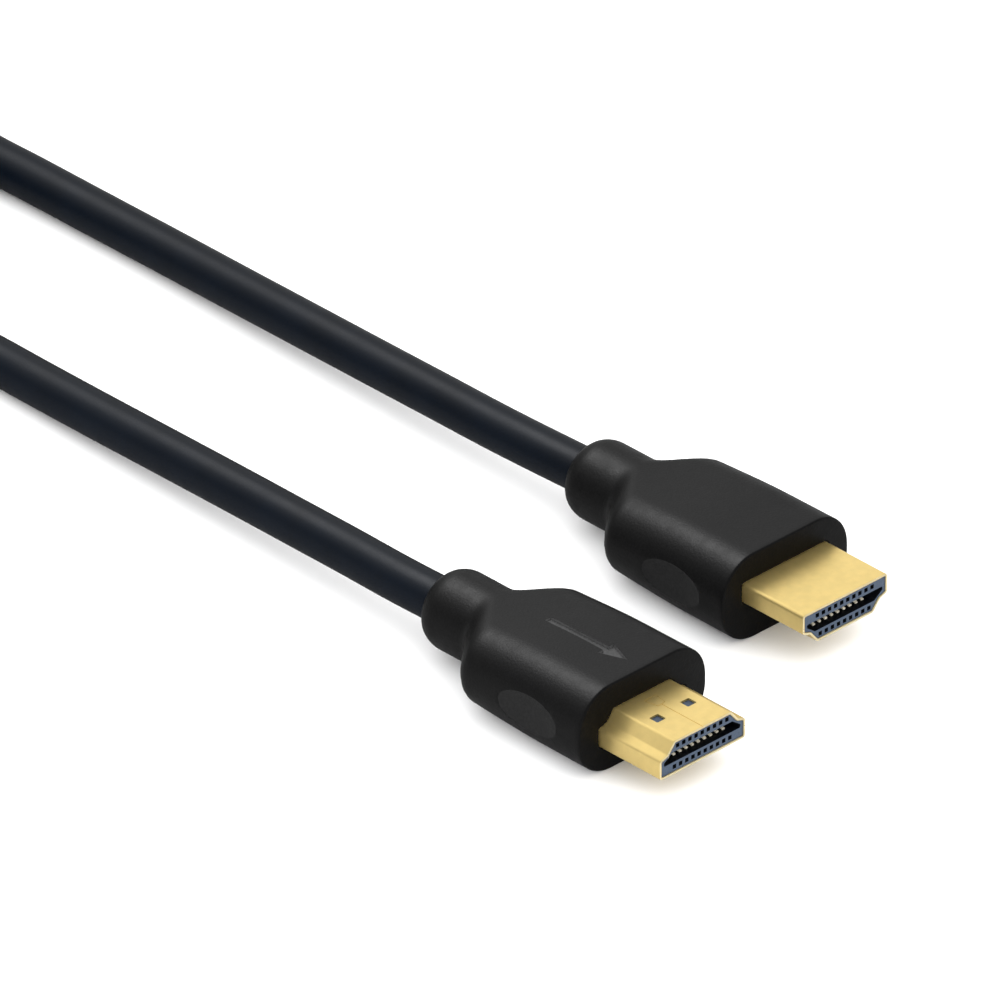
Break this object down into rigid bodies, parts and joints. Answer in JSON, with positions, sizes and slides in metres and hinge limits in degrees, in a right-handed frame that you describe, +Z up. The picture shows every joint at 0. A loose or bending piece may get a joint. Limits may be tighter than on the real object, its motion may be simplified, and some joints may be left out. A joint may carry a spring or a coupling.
{
  "type": "hdmi cable",
  "caption": "Digital video cable: a gold-plated shell plug in a black moulding at each end of a round dark lead, with the rest of the lead folded into an oval hank.",
  "frame": {"origin": "on the surface that the cable lies on, below the middle of the box round the two plugs", "axes": "+X the way both plugs are pushed into their sockets, +Y from the near plug to the far one, +Z up"},
  "size_m": [0.2737, 0.0645, 0.0116],
  "materials": {
    "moulding": "fine-grained matt black moulding",
    "cord": "smooth satin blue-black jacket",
    "shell": "gold-plated stamped sheet",
    "insulator": "slate grey-blue moulded plastic",
    "contact": "bright gold-plated spring contact"
  },
  "bodies": {
    "root": {"near_plug_moulding": "moulding", "near_plug_shell": "shell", "near_plug_insulator": "insulator", "near_plug_contact_01": "contact", "near_plug_contact_02": "contact", "near_plug_contact_03": "contact", "near_plug_contact_04": "contact", "near_plug_contact_05": "contact", "near_plug_contact_06": "contact", "near_plug_contact_07": "contact", "near_plug_contact_08": "contact", "near_plug_contact_09": "contact", "near_plug_contact_10": "contact", "near_plug_contact_11": "contact", "near_plug_contact_12": "contact", "near_plug_contact_13": "contact", "near_plug_contact_14": "contact", "near_plug_contact_15": "contact", "near_plug_contact_16": "contact", "near_plug_contact_17": "contact", "near_plug_contact_18": "contact", "near_plug_contact_19": "contact", "far_plug_moulding": "moulding", "far_plug_shell": "shell", "far_plug_insulator": "insulator", "far_plug_contact_01": "contact", "far_plug_contact_02": "contact", "far_plug_contact_03": "contact", "far_plug_contact_04": "contact", "far_plug_contact_05": "contact", "far_plug_contact_06": "contact", "far_plug_contact_07": "contact", "far_plug_contact_08": "contact", "far_plug_contact_09": "contact", "far_plug_contact_10": "contact", "far_plug_contact_11": "contact", "far_plug_contact_12": "contact", "far_plug_contact_13": "contact", "far_plug_contact_14": "contact", "far_plug_contact_15": "contact", "far_plug_contact_16": "contact", "far_plug_contact_17": "contact", "far_plug_contact_18": "contact", "far_plug_contact_19": "contact", "near_cord": "cord", "far_cord": "cord", "cord_hank": "cord"}
  },
  "joints": []
}
